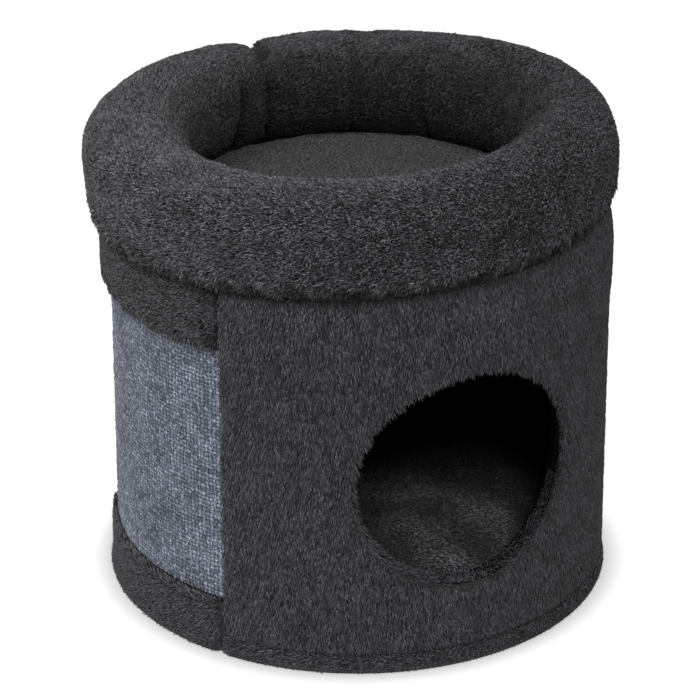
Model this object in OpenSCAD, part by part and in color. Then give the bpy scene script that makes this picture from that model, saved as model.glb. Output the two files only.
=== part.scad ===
// Cat condo: a plush-covered drum with a cave inside and a ring bolster round the bed on top.
// Millimetres, +Z up. The origin is on the floor, under the centre of the base.
// The entrance faces -Y and the scratching section faces -X.

/* [Drum] */
// Outside diameter of the paperboard tube
tube_d = 338; // [300:1:420]
// Wall of the paperboard tube
tube_wall = 5; // [3:0.5:8]
// Height of the paperboard tube
tube_h = 273; // [262:1:330]

/* [Entrance] */
// Diameter of the hole cut in the tube
entrance_d = 160; // [120:1:170]
// Height of the hole's centre above the cave floor
entrance_rise = 116; // [100:1:125]

/* [Boards] */
// Thickness of the base board
base_board_t = 10; // [8:1:16]
// Thickness of the disc inside the foot of the tube
floor_disc_t = 12; // [9:1:18]
// Thickness of the board under the bed
top_board_t = 12; // [9:1:18]
// Gap between a board's edge and the inside of the tube
board_fit = 0.3; // [0.1:0.1:0.8]

/* [Covers] */
// Depth of the wall cover, pile included
wall_cover_t = 7; // [4:0.5:9]
// Depth of the plush turned in through the entrance
turn_in_t = 3; // [2:0.5:5]
// Depth of the plush band round the edge of the base
base_edge_t = 7.5; // [4:0.5:9]
// Depth of the plush pressed flat under the base
turn_under_t = 3; // [2:0.5:5]
// Width of the plush turned under the base
turn_under_w = 30; // [20:1:60]
// Thickness of the cave's lining
lining_t = 4; // [2:0.5:6]
// Glue line between a cover and what it is stuck to
glue_gap = 0.2; // [0.1:0.1:0.5]
// Gap where the edges of two covers meet
seam_gap = 0.6; // [0.3:0.1:1.5]
// Rounding of the covers' edges
cover_edge_r = 3; // [1:0.5:3.5]

/* [Scratching section] */
// Width of the panel, measured round the drum
mat_w = 187; // [150:1:240]
// Height of the panel
mat_h = 184; // [150:1:195]
// Thickness of the panel
mat_t = 3; // [2:0.5:5]
// Height of the strip below the panel, from the floor up
lower_strip_h = 45; // [30:1:55]
// Depth of the strip below the panel
lower_strip_t = 8.5; // [5:0.5:12]
// Depth of the strip above the panel
upper_strip_t = 12; // [9:0.5:14]
// Rounding of the upper strip's edges
upper_strip_edge_r = 7; // [3:0.5:8]

/* [Bed] */
// Depth of the bed's floor below the rim of the tube
bed_drop = 12; // [6:1:20]
// Thickness of the foam pad under the bed's floor
bed_pad_t = 8; // [4:1:15]
// Depth of the plush on the bed's floor
bed_cover_t = 4; // [2:0.5:6]

/* [Bolster] */
// Width of the bolster, inside to outside
bolster_w = 69; // [55:1:80]
// Overhang of the bolster past the wall cover
bolster_overhang = 10; // [4:1:16]
// Height of the bolster's crown above the rim of the tube
bolster_rise = 65; // [55:1:80]
// Height of the bolster's widest part above the rim of the tube
bolster_waist = 35; // [25:1:38]
// How far the inner side draws back under the widest part
bolster_undercut = 15; // [8:1:25]
// How much the filling lifts the crown on its fullest side
bolster_lean = 8; // [0:1:12]
// Direction of the fullest side, from the entrance
bolster_full_side = -26; // [-90:1:90]
// Thickness of the bolster's casing
casing_t = 3; // [2:0.5:4]
// Depth of the tuck where the bolster's two ends meet
tuck_depth = 8; // [0:1:10]
// Half width of that tuck, measured round the bolster
tuck_w = 13; // [10:1:20]
// Gap between a cover and its filling
filling_gap = 0.3; // [0.2:0.1:0.6]

/* [Cave cushion] */
// Gap between the cushion and the cave's wall
cushion_gap = 8; // [4:1:20]
// Thickness of the cushion at its crown
cushion_t = 26; // [20:1:36]
// Thickness of the cushion at its rounded edge
cushion_edge_t = 14; // [10:1:17]
// Thickness of the cushion's cover
cushion_cover_t = 2.5; // [1.5:0.5:4]
// Gap under a loose or seated soft piece
rest_gap = 0.3; // [0.2:0.1:0.6]

/* [Fasteners] */
// Staples in each ring
staple_count = 10; // [6:1:16]
// Width of a staple
staple_w = 10; // [6:1:14]
// Length of a staple's legs
staple_leg = 10; // [8:1:11]
// Thickness of the staple wire
staple_wire = 1.2; // [0.8:0.1:1.6]
// Depth to which the underside staples press into the plush
staple_press = 1; // [0.4:0.1:1.5]
// Screws through the base
screw_count = 4; // [3:1:8]
// Distance of the screws from the centre
screw_ring_r = 110; // [60:1:125]
// Diameter of a screw
screw_d = 4.5; // [3.5:0.5:5]
// Diameter of a screw's head
screw_head_d = 9; // [7:0.5:10]
// Depth of a screw in the floor disc
screw_bite = 7; // [4:0.5:7.5]
// Gap round a screw in the base board
screw_fit = 0.2; // [0.1:0.1:0.4]
// Gap round a screw's thread in the floor disc
thread_fit = 0.05; // [0.02:0.01:0.1]

/* [Hidden] */
$fn = 144;

// Colours, as the photo shows them
plush_colour = [0.16, 0.16, 0.17];
panel_colour = [0.36, 0.41, 0.48];
board_colour = [0.70, 0.56, 0.40];
paperboard_colour = [0.64, 0.52, 0.38];
felt_colour = [0.10, 0.10, 0.10];
fibre_colour = [0.90, 0.90, 0.88];
steel_colour = [0.72, 0.73, 0.75];

// Directions round the drum, in degrees from +X
entrance_side = 270;
mat_side = 180;
join_side = 90;
full_turn = 360;

// Heights, from the floor up
base_low = turn_under_t;
base_top = base_low + base_board_t;
cave_floor = base_top + floor_disc_t;
tube_top = base_top + tube_h;
bed_floor = tube_top - bed_drop;
deck_top = bed_floor - bed_cover_t - bed_pad_t;
deck_low = deck_top - top_board_t;
entrance_z = cave_floor + entrance_rise;

// Radii, from the drum's axis out
tube_r = tube_d / 2;
bore_r = tube_r - tube_wall;
board_r = bore_r - board_fit;
cave_r = bore_r - glue_gap - lining_t;
skin_r = tube_r + glue_gap;
cover_r = tube_r + wall_cover_t;
underlay_r = tube_r - turn_under_w;
entrance_r = entrance_d / 2;

// The scratching section's limits round the drum
mat_r = tube_r + mat_t;
mat_span = mat_w / mat_r * 180 / PI;
mat_from = mat_side - mat_span / 2;
mat_to = mat_side + mat_span / 2;
seam_span = seam_gap / cover_r * 180 / PI;
mat_low = lower_strip_h + seam_gap;
mat_top = mat_low + mat_h;

// A cut that starts or ends clear of the solid it cuts
past = 1;

// The bolster's section: its widest part, its seats and the edges where its curve ends
half_w = bolster_w / 2;
ring_r = cover_r + bolster_overhang - half_w;
waist_z = tube_top + bolster_waist;
rim_seat = tube_top + rest_gap;
deck_seat = deck_top + rest_gap;
step_r = bore_r - rest_gap;
section_arc_steps = 10;
ring_steps = 44;
// How far the ring's sections crowd towards the tuck, in degrees
ring_crowd = 28;
// The ring's flat sides come in between its sections, so the bed's edge clears the widest of them
widest_step = full_turn / ring_steps * (1 + ring_crowd * PI / 180);
bed_r = (ring_r - half_w + bolster_undercut) * cos(widest_step / 2) - seam_gap;

// The cave cushion, and where the seam of its top lies on its round edge, in degrees
cushion_r = cave_r - cushion_gap;
cushion_low = cave_floor + rest_gap;
cushion_seam = 45;
crown_facets = 1440;

// Cuts the corner of a profile to a round: side is 1 for a lower corner, -1 for an upper one
module corner_cut(r, z, round_r, side) {
    difference() {
        translate([r - round_r, side > 0 ? z - past : z - round_r])
            square(round_r + past);
        translate([r - round_r, z + side * round_r])
            circle(round_r);
    }
}

// Profile of a cover: a strip standing on the drum, with its outer edges rounded
module strip_profile(r_in, r_out, z_low, z_high, low_round, high_round) {
    difference() {
        translate([r_in, z_low])
            square([r_out - r_in, z_high - z_low]);
        corner_cut(r_out, z_low, low_round, 1);
        corner_cut(r_out, z_high, high_round, -1);
    }
}

// Profile of a cover that wraps the base: a strip on the edge, turned under the board
module wrapped_profile(r_out, z_high) {
    strip_profile(skin_r, r_out, 0, z_high, cover_edge_r, cover_edge_r);
    translate([underlay_r, 0])
        square([skin_r - underlay_r, base_low - glue_gap]);
}

// Turns a profile round the drum from one direction to another
module sector(from, to) {
    rotate([0, 0, from])
        rotate_extrude(angle = to - from)
            children();
}

// The part of the drum outside the scratching section
module main_sector() {
    sector(mat_to + seam_span, mat_from - seam_span + full_turn)
        children();
}

// The scratching section
module mat_sector() {
    sector(mat_from, mat_to)
        children();
}

// A ring about the drum's axis
module ring(r_in, r_out, z_low, z_high) {
    translate([0, 0, z_low])
        difference() {
            cylinder(r = r_out, h = z_high - z_low);
            translate([0, 0, -past])
                cylinder(r = r_in, h = z_high - z_low + 2 * past);
        }
}

// A disc about the drum's axis
module disc(r, z_low, z_high) {
    translate([0, 0, z_low])
        cylinder(r = r, h = z_high - z_low);
}

// A straight bore from the drum's axis out through the entrance
module entrance_bore(r) {
    rotate([0, 0, entrance_side])
        translate([0, 0, entrance_z])
            rotate([0, 90, 0])
                cylinder(r = r, h = cover_r + past);
}

// One staple: its crown's outer face on z = 0, its legs along -Z
module staple() {
    translate([-staple_w / 2, -staple_wire / 2, -staple_wire])
        cube([staple_w, staple_wire, staple_wire]);
    for (side = [-1, 1])
        translate([side * (staple_w - staple_wire) / 2, 0, -staple_leg / 2])
            cube([staple_wire, staple_wire, staple_leg], center = true);
}

// A ring of places about the drum's axis
module around(count) {
    for (i = [0 : count - 1])
        rotate([0, 0, full_turn * i / count])
            children();
}

// Staples driven through the tube's wall, with their crowns flush on the outside
module wall_staples(z) {
    around(staple_count)
        translate([tube_r, 0, z])
            rotate([0, 90, 0])
                rotate([0, 0, 90])
                    staple();
}

// One countersunk screw, head down, widened by a gap all round
module screw(gap, length) {
    sink = (screw_head_d - screw_d) / 2;
    cylinder(r1 = screw_head_d / 2 + gap, r2 = screw_d / 2 + gap, h = sink);
    cylinder(r = screw_d / 2 + gap, h = length);
}

module base_screw_places() {
    translate([0, 0, base_low])
        around(screw_count)
            translate([screw_ring_r, 0, 0])
                children();
}

// Depth of the tuck at a direction round the bolster
function tuck(angle) =
    let(turned = angle - join_side)
    let(away = min(turned, full_turn - turned) * PI / 180 * ring_r)
    tuck_depth * exp(-pow(away / tuck_w, 2));

// Directions of the bolster's sections, closer together near the tuck
function ring_angle(i) =
    let(turned = full_turn * i / ring_steps)
    join_side + turned - ring_crowd * sin(turned);

// One section of the bolster, drawn in by an inset: over the crown from the rim to the bed,
// then back along the seat on the deck and up the step at the tube's rim
function bolster_section(angle, inset) =
    let(half = half_w - inset)
    let(out_end = acos((half - bolster_overhang) / half))
    let(in_end = acos((half - bolster_undercut) / half))
    let(rim_z = rim_seat + inset)
    let(bed_z = bed_floor + inset)
    let(out_fall = (waist_z - rim_z) / sin(out_end))
    let(in_fall = (waist_z - bed_z) / sin(in_end))
    let(drawn = tuck(angle))
    let(lift = bolster_lean * cos(angle - entrance_side - bolster_full_side))
    let(crown = bolster_rise - bolster_waist + lift - inset - drawn)
    let(sweep = out_end + 180 + in_end)
    let(arc = [
        for (k = [0 : section_arc_steps])
            let(phi = -out_end + sweep * k / section_arc_steps)
            let(tall = phi < 0 ? out_fall : phi > 180 ? in_fall : crown)
            [ring_r + (half - drawn) * cos(phi), waist_z + tall * sin(phi)]
    ])
    concat(arc, [
        [arc[section_arc_steps][0], deck_seat + inset],
        [step_r - inset, deck_seat + inset],
        [step_r - inset, rim_z]
    ]);

// A closed ring of sections, as one solid
module bolster_form(inset) {
    sections = [
        for (i = [0 : ring_steps - 1])
            bolster_section(ring_angle(i), inset)
    ];
    count = len(sections[0]);
    points = [
        for (i = [0 : ring_steps - 1])
            for (p = sections[i])
                [p[0] * cos(ring_angle(i)), p[0] * sin(ring_angle(i)), p[1]]
    ];
    faces = [
        for (i = [0 : ring_steps - 1])
            for (j = [0 : count - 1])
                let(here = i * count)
                let(there = ((i + 1) % ring_steps) * count)
                let(next = (j + 1) % count)
                for (face = [
                    [here + j, here + next, there + next],
                    [here + j, there + next, there + j]
                ])
                    face
    ];
    polyhedron(points = points, faces = faces);
}

// Profile of a round cushion, drawn in by an inset: flat below, a round edge and a crowned top
// that meets the edge at its seam
module cushion_profile(inset) {
    low = cushion_low + inset;
    edge_r = cushion_edge_t / 2 - inset;
    edge_at = cushion_r - inset - edge_r;
    tall = cushion_t - 2 * inset;
    seam = [edge_at + edge_r * cos(cushion_seam), edge_r * (1 + sin(cushion_seam))];
    rise = tall - seam[1];
    crown_r = (pow(seam[0], 2) + pow(rise, 2)) / (2 * rise);
    intersection() {
        translate([0, low + tall - crown_r])
            circle(crown_r, $fn = crown_facets);
        difference() {
            translate([0, low])
                square([edge_at + edge_r, tall + past]);
            corner_cut(edge_at + edge_r, low, edge_r, 1);
            difference() {
                translate([edge_at, low + edge_r])
                    square([edge_r + past, tall + past]);
                translate([edge_at, low + edge_r])
                    circle(edge_r);
            }
        }
    }
}

module drum_tube() {
    color(paperboard_colour)
        difference() {
            ring(bore_r, tube_r, base_top, tube_top);
            entrance_bore(entrance_r);
        }
}

module base_board() {
    color(board_colour)
        difference() {
            disc(tube_r, base_low, base_top);
            base_screw_places()
                screw(screw_fit, base_board_t + past);
        }
}

module floor_disc() {
    color(board_colour)
        difference() {
            disc(board_r, base_top, cave_floor);
            base_screw_places()
                cylinder(r = screw_d / 2 + thread_fit, h = base_board_t + screw_bite + past);
        }
}

module base_screws() {
    color(steel_colour)
        base_screw_places()
            screw(0, base_board_t + screw_bite);
}

module top_board() {
    color(board_colour)
        disc(board_r, deck_low, deck_top);
}

module lower_tube_staples() {
    color(steel_colour)
        wall_staples(base_top + floor_disc_t / 2);
}

module upper_tube_staples() {
    color(steel_colour)
        wall_staples(deck_low + top_board_t / 2);
}

// Plush round the drum, turned in through the entrance and stuck to the cut edge of the tube
module wall_cover() {
    color(plush_colour)
        difference() {
            union() {
                main_sector()
                    strip_profile(skin_r, cover_r, base_top + seam_gap, tube_top, cover_edge_r, cover_edge_r);
                intersection() {
                    ring(cave_r, skin_r + past, base_top, tube_top);
                    entrance_bore(entrance_r - glue_gap);
                }
            }
            entrance_bore(entrance_r - turn_in_t);
        }
}

module wall_lining() {
    color(plush_colour)
        difference() {
            ring(cave_r, bore_r - glue_gap, cave_floor + glue_gap, deck_low - glue_gap);
            entrance_bore(entrance_r);
        }
}

module ceiling_lining() {
    color(plush_colour)
        disc(cave_r - seam_gap, deck_low - glue_gap - lining_t, deck_low - glue_gap);
}

module scratch_mat() {
    color(panel_colour)
        mat_sector()
            translate([skin_r, mat_low])
                square([mat_r - skin_r, mat_h]);
}

module upper_trim_strip() {
    color(plush_colour)
        mat_sector()
            strip_profile(skin_r, tube_r + upper_strip_t, mat_top + seam_gap, tube_top,
                upper_strip_edge_r, upper_strip_edge_r);
}

module lower_trim_strip() {
    color(plush_colour)
        mat_sector()
            wrapped_profile(tube_r + lower_strip_t, lower_strip_h);
}

module base_edge_cover() {
    color(plush_colour)
        main_sector()
            wrapped_profile(tube_r + base_edge_t, base_top);
}

module underside_staples() {
    color(steel_colour)
        around(staple_count)
            translate([tube_r - turn_under_w / 2, 0, staple_press])
                rotate([180, 0, 90])
                    staple();
}

module base_underlay() {
    color(felt_colour)
        disc(underlay_r - seam_gap, 0, base_low - glue_gap);
}

module bed_pad() {
    color(fibre_colour)
        disc(bed_r, deck_top, deck_top + bed_pad_t);
}

module bed_floor_cover() {
    color(plush_colour)
        disc(bed_r, deck_top + bed_pad_t, bed_floor);
}

module bolster_cover() {
    color(plush_colour)
        difference() {
            bolster_form(0);
            bolster_form(casing_t);
        }
}

module bolster_filling() {
    color(fibre_colour)
        bolster_form(casing_t + filling_gap);
}

module bolster_staples() {
    color(steel_colour)
        around(staple_count)
            translate([ring_r, 0, deck_seat + casing_t])
                rotate([0, 0, 90])
                    staple();
}

module cave_cushion_cover() {
    color(plush_colour)
        rotate_extrude()
            difference() {
                cushion_profile(0);
                cushion_profile(cushion_cover_t);
            }
}

module cave_cushion_filling() {
    color(fibre_colour)
        rotate_extrude()
            cushion_profile(cushion_cover_t + filling_gap);
}

drum_tube();
base_board();
floor_disc();
base_screws();
top_board();
lower_tube_staples();
upper_tube_staples();
wall_cover();
wall_lining();
ceiling_lining();
scratch_mat();
upper_trim_strip();
lower_trim_strip();
base_edge_cover();
underside_staples();
base_underlay();
bed_pad();
bed_floor_cover();
bolster_cover();
bolster_filling();
bolster_staples();
cave_cushion_cover();
cave_cushion_filling();
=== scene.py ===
"""Cat condo, dressed: plush and its pile, a woven panel, a stuffed bolster and a loose cushion."""
import math

import bmesh
import bpy
import numpy as np
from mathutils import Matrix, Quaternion, Vector, noise


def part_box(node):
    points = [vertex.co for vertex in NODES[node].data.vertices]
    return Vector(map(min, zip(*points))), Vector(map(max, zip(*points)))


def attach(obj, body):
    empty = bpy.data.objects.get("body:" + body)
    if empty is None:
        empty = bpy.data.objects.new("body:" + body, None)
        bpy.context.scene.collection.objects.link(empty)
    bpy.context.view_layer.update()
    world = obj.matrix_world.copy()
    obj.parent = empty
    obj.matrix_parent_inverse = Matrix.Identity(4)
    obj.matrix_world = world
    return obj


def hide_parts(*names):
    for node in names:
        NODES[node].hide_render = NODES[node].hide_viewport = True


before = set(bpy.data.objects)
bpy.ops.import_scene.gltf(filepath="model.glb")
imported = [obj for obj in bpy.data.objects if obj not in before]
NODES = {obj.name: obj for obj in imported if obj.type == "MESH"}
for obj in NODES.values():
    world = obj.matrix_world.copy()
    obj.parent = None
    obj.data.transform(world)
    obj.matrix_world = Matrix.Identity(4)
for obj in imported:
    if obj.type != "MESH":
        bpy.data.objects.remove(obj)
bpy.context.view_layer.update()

MM = 0.001
FULL_TURN = 2 * math.pi
DEGREE = math.pi / 180

# The photograph's view: 700 by 700 pixels, the camera in front and to the left of the entrance
CAMERA_TURN = -26.4 * DEGREE
CAMERA_AWAY = 2.4302
CAMERA_UP = 1.3426
CAMERA_PITCH = 25.947 * DEGREE
CAMERA_YAW = -0.1265 * DEGREE
CAMERA_LENS_MM = 196.97
CAMERA_SENSOR_MM = 36
CAMERA_SIDE = CAMERA_TURN - math.pi / 2

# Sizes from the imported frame
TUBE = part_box("drum_tube")
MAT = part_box("scratch_mat")
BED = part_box("bed_floor_cover")
TUBE_R = TUBE[1].x
TUBE_TOP = TUBE[1].z
WALL_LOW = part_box("wall_cover")[0].z
MAT_R = -MAT[0].x
MAT_LOW = MAT[0].z
MAT_TOP = MAT[1].z
MAT_HALF = math.asin(MAT[1].y / MAT_R)
MAT_FROM = math.pi - MAT_HALF
MAT_TO = math.pi + MAT_HALF
STRIP_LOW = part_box("upper_trim_strip")[0].z
LOWER_STRIP_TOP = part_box("lower_trim_strip")[1].z
BASE_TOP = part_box("base_board")[1].z
BED_Z = BED[1].z
BED_R = BED[1].x
DECK_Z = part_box("top_board")[1].z
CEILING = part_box("ceiling_lining")
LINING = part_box("wall_lining")
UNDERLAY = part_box("base_underlay")
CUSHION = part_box("cave_cushion_cover")
ENTRANCE_Z = 141 * MM
ENTRANCE_R = 80 * MM

# The crease between wall and bolster: the ring sits lower on the camera's left
CREASE_MID = TUBE_TOP - 1.5 * MM
CREASE_TILT = 8.5 * MM
CREASE_TURN = 8 * DEGREE

# How far each backing cloth stands out from the tube, and the glue behind it
WALL_BACKING = 5.2 * MM
STRIP_BACKING = 8.0 * MM
LOWER_BACKING = 5.3 * MM
BAND_BACKING = 5.6 * MM
GLUE_R = TUBE_R + 0.3 * MM

# The cloth that is turned under the base: its allowance, its reach inwards and its two faces
TURNED_UNDER = 30 * MM
UNDER_REACH = 29 * MM
UNDER_LOW = 0.6 * MM
UNDER_TOP = 2.7 * MM
FOOT_SPREAD = 3.0 * MM


def seen(angle):
    """Directions from the camera's side: positive is right in the picture."""
    return angle - CAMERA_SIDE


def turn_between(angle, side):
    """The signed turn between directions, within half a turn."""
    return (angle - side + math.pi) % FULL_TURN - math.pi


def round_table(values, turn):
    """A smooth value by direction, from values evenly round a turn."""
    place = (turn + math.pi) / FULL_TURN * len(values)
    k = math.floor(place)
    t = place - k
    a, b, c, d = (values[(k + i) % len(values)] for i in (-1, 0, 1, 2))
    return b + 0.5 * t * (c - a + t * (2 * a - 5 * b + 4 * c - d + t * (3 * (b - c) + d - a)))


def crease_z(angle):
    return CREASE_MID + CREASE_TILT * np.sin(seen(angle) + CREASE_TURN)


def ease(low, high, x):
    """0 at low, 1 at high and smooth between."""
    t = np.clip((x - low) / (high - low), 0, 1)
    return t * t * (3 - 2 * t)


def round_points(angle, radius, height):
    angle, radius, height = np.broadcast_arrays(angle, radius, height)
    return np.stack([radius * np.cos(angle), radius * np.sin(angle), height], axis=-1)


def angle_of(points):
    return np.arctan2(points[..., 1], points[..., 0])


def radius_of(points):
    return np.hypot(points[..., 0], points[..., 1])


def move_out(points, far):
    angle = angle_of(points)
    points[:, 0] += far * np.cos(angle)
    points[:, 1] += far * np.sin(angle)


def noise_at(points, size, seed):
    """Smooth noise from -1 to 1, by a size in millimetres."""
    shift = Vector((seed * 17.3, seed * 5.1, seed * 11.7))
    return np.array([noise.noise(Vector(p) / (size * MM) + shift) for p in points])


# Meshes

def add_object(name, data):
    added = bpy.data.objects.new(name, data)
    bpy.context.scene.collection.objects.link(added)
    return added


def mesh_piece(name, points, faces, caps=()):
    """A new object from points, faces of one size and larger end faces."""
    mesh = bpy.data.meshes.new(name)
    mesh.vertices.add(len(points))
    mesh.vertices.foreach_set("co", np.asarray(points, np.float32).ravel())
    loops = np.concatenate([faces.ravel(), *[np.asarray(c) for c in caps]])
    sizes = np.concatenate([np.full(len(faces), faces.shape[1]), [len(c) for c in caps]])
    starts = np.concatenate([[0], np.cumsum(sizes)[:-1]])
    mesh.loops.add(len(loops))
    mesh.loops.foreach_set("vertex_index", loops.astype(np.int32))
    mesh.polygons.add(len(sizes))
    mesh.polygons.foreach_set("loop_start", starts.astype(np.int32))
    mesh.update(calc_edges=True)
    mesh.shade_smooth()
    return add_object(name, mesh)


def strip_faces(count, size, whole_turn=False, closed_loop=False):
    """Faces between neighbouring rows of points."""
    i = np.arange(count if whole_turn else count - 1)[:, None]
    j = np.arange(size if closed_loop else size - 1)[None, :]
    here, there = i * size, (i + 1) % count * size
    after = (j + 1) % size
    corners = [here + j, there + j, there + after, here + after]
    return np.stack(corners, axis=-1).reshape(-1, 4)


def point_values(mesh, key):
    values = np.empty(3 * len(mesh.vertices), np.float32)
    mesh.vertices.foreach_get(key, values)
    return values.reshape(-1, 3)


def points_of(piece):
    return point_values(piece.data, "co").astype(float)


def set_points(piece, points):
    piece.data.vertices.foreach_set("co", np.asarray(points, np.float32).ravel())
    piece.data.update()


def set_colours(piece, name, colours):
    layer = piece.data.color_attributes.new(name, "FLOAT_COLOR", "POINT")
    layer.data.foreach_set("color", colours.ravel())


def copy_of_node(node, name):
    piece = add_object(name, NODES[node].data.copy())
    piece.data.name = name
    piece.data.materials.clear()
    return piece


def put(thing, **settings):
    for key, value in settings.items():
        setattr(thing, key, value)


def modify(piece, kind, **settings):
    """Puts a piece through one modifier."""
    put(piece.modifiers.new(kind.lower(), kind), **settings)
    depsgraph = bpy.context.evaluated_depsgraph_get()
    made = bpy.data.meshes.new_from_object(piece.evaluated_get(depsgraph))
    piece.modifiers.clear()
    old = piece.data
    made.name = old.name
    piece.data = made
    bpy.data.meshes.remove(old)
    made.shade_smooth()


def remesh(piece, voxel):
    modify(piece, "REMESH", mode="VOXEL", voxel_size=voxel)


def subdivide(piece):
    modify(piece, "SUBSURF", levels=1, render_levels=1)


def thicken(piece, depth):
    """Thickens a sheet inwards."""
    modify(piece, "SOLIDIFY", thickness=depth, offset=-1)


def push_out(piece, depths):
    normals = point_values(piece.data, "normal")
    set_points(piece, points_of(piece) + normals * depths[:, None])


CLOTH_FRAMES = 20


def inflate(piece, held, pressure, cap, stiffness=15.0):
    """Blows a closed piece up as stuffed cloth, with some points held and every move capped.
    """
    start = points_of(piece)
    scene = bpy.context.scene
    group = piece.vertex_groups.new(name="held")
    group.add([int(i) for i in np.flatnonzero(held)], 1.0, "REPLACE")
    cloth = piece.modifiers.new("cloth", "CLOTH")
    put(cloth.settings, quality=5, tension_stiffness=stiffness, compression_stiffness=stiffness,
        shear_stiffness=stiffness / 3, use_pressure=True, uniform_pressure_force=pressure)
    cloth.settings.effector_weights.gravity = 0
    cloth.settings.vertex_group_mass = "held"
    cloth.collision_settings.use_collision = False
    put(cloth.point_cache, frame_start=1, frame_end=CLOTH_FRAMES)
    for number in range(1, CLOTH_FRAMES + 1):
        scene.frame_set(number)
    shown = piece.evaluated_get(bpy.context.evaluated_depsgraph_get()).to_mesh()
    move = point_values(shown, "co") - start
    far = np.linalg.norm(move, axis=1, keepdims=True)
    piece.modifiers.clear()
    piece.vertex_groups.clear()
    set_points(piece, start + move * np.minimum(1, cap / np.maximum(far, 1e-9)))
    scene.frame_set(1)


def sweep(name, angles, profile, whole_turn=False):
    """Sweeps closed loops of (radius, height) round the drum."""
    loops = np.array([profile(a) for a in angles] if callable(profile) else profile)
    count, size = loops.shape[:2]
    points = round_points(np.asarray(angles)[:, None], loops[..., 0], loops[..., 1]).reshape(-1, 3)
    faces = strip_faces(count, size, whole_turn, closed_loop=True)
    if whole_turn:
        return mesh_piece(name, points, faces)
    first = np.arange(size)
    last = (first + (count - 1) * size)[::-1]
    return mesh_piece(name, points, faces, [first, last])


CORNER_STEPS = 6


def rounded_loop(r_out, z_low, z_high, low_round, high_round, rows):
    """A profile with rounded outer corners: up outside, over and down inside."""
    quarter = np.linspace(0, math.pi / 2, CORNER_STEPS)
    low = np.stack([
        r_out - low_round + low_round * np.sin(quarter),
        z_low + low_round - low_round * np.cos(quarter),
    ], axis=-1)
    high = np.stack([
        r_out - high_round + high_round * np.cos(quarter),
        z_high - high_round + high_round * np.sin(quarter),
    ], axis=-1)
    rise = np.linspace(0, 1, rows + 2)[1:-1, None]
    side = low[-1] + rise * (high[0] - low[-1])
    inner = np.array([[GLUE_R, z_high], [GLUE_R, (z_low + z_high) / 2], [GLUE_R, z_low]])
    return np.concatenate([low, side, high, inner])


# Pile: each tuft is a small closed blade that grows from the cloth and lies over

MOST_TUFTS = 48000
TUFT_SUNK = 0.5 * MM
TUFT_BEND = 0.5
TUFT_FACES = np.array([[0, 2, 1], [1, 2, 3], [0, 1, 3], [0, 3, 2]])
# From root to tip, at a tuft's four points; the pile material paints shade towards the root from it
TUFT_ALONG = np.array([0.0, 0.65, 0.65, 1.0])


def set_gloom(piece, values):
    """Keeps the pile's painted light and shade: how much light the pile shows, 1 in the open."""
    layer = piece.data.attributes.new("gloom", "FLOAT", "POINT")
    layer.data.foreach_set("value", np.asarray(values, np.float32))


def gloom_of(piece):
    values = np.ones(len(piece.data.vertices), np.float32)
    layer = piece.data.attributes.get("gloom")
    if layer:
        layer.data.foreach_get("value", values)
    return values


def scatter(piece, spacing, seed):
    """Points, normals and glooms, one for each square of that spacing."""
    rng = np.random.default_rng(seed)
    mesh = piece.data
    mesh.calc_loop_triangles()
    corners = np.empty(3 * len(mesh.loop_triangles), np.int32)
    mesh.loop_triangles.foreach_get("vertices", corners)
    corners = corners.reshape(-1, 3)
    points, normals = points_of(piece), point_values(mesh, "normal")
    a, b, c = (points[corners[:, k]] for k in range(3))
    areas = np.linalg.norm(np.cross(b - a, c - a), axis=1) / 2
    reach = np.cumsum(areas)
    count = int(reach[-1] / spacing**2)
    places = (np.arange(count) + rng.random(count)) / count * reach[-1]
    chosen = np.searchsorted(reach, places)
    p, q = rng.random((2, count, 1))
    over = p + q > 1
    p, q = np.where(over, 1 - p, p), np.where(over, 1 - q, q)
    roots = a[chosen] + p * (b - a)[chosen] + q * (c - a)[chosen]
    shares = np.concatenate([1 - p - q, p, q], axis=1)
    grown = np.einsum("ij,ijk->ik", shares, normals[corners[chosen]])
    glooms = np.sum(shares * gloom_of(piece)[corners[chosen]], axis=1)
    return roots, grown / np.linalg.norm(grown, axis=1, keepdims=True), glooms


def along_surface(directions, normals):
    """Unit directions laid into the surface."""
    flat = directions - np.sum(directions * normals, axis=1, keepdims=True) * normals
    return flat / np.maximum(np.linalg.norm(flat, axis=1, keepdims=True), 1e-9)


def turned(directions, normals, angles):
    """Directions turned about the normals."""
    sides = np.cross(normals, directions)
    return directions * np.cos(angles)[:, None] + sides * np.sin(angles)[:, None]


def grow_pile(name, roots, normals, lays, trims, glooms, style, floor, seed):
    """One mesh of tufts above a floor: trims shorten, and glooms carry painted light and shade into
    the colours.
    """
    rng = np.random.default_rng(seed)
    count = len(roots)
    patch = noise_at(roots, style["patch"], seed)
    clump = noise_at(roots * style["stretch"], style["clump"], seed + 50)
    stray = style["swirl"] * patch + style["stray"] * rng.normal(size=count)
    lays = turned(lays, normals, stray)
    sides = np.cross(normals, lays)
    vary = 1 + style["spread"] * rng.uniform(-1, 1, (3, count, 1))
    trims = trims[:, None]
    length = style["length"] * MM * vary[0] * trims
    width = style["width"] * MM * vary[1]
    tip = style["tip"] * MM * vary[2] * trims * (1 + 0.4 * clump[:, None])
    rise = normals * (style["middle"] * MM) * vary[1] * trims
    middle = roots + lays * length * TUFT_BEND + rise
    ends = roots + lays * length + normals * tip
    half = sides * width / 2
    points = np.stack([roots - normals * TUFT_SUNK, middle - half, middle + half, ends], axis=1)
    points[..., 2] = np.maximum(points[..., 2], floor)
    faces = (np.arange(count)[:, None, None] * 4 + TUFT_FACES).reshape(-1, 3)
    piece = mesh_piece(name, points.reshape(-1, 3), faces)
    shade = np.clip(0.5 + 0.29 * rng.normal(size=count) + 0.16 * patch + 0.22 * clump, 0, 1)
    colours = np.ones((count, 4, 4), np.float32)
    colours[..., 0] = shade[:, None]
    colours[..., 1] = TUFT_ALONG
    # Painted light and shade, from the base's glooms
    colours[..., 2] = glooms[:, None]
    set_colours(piece, "pile", colours)
    return piece


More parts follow.
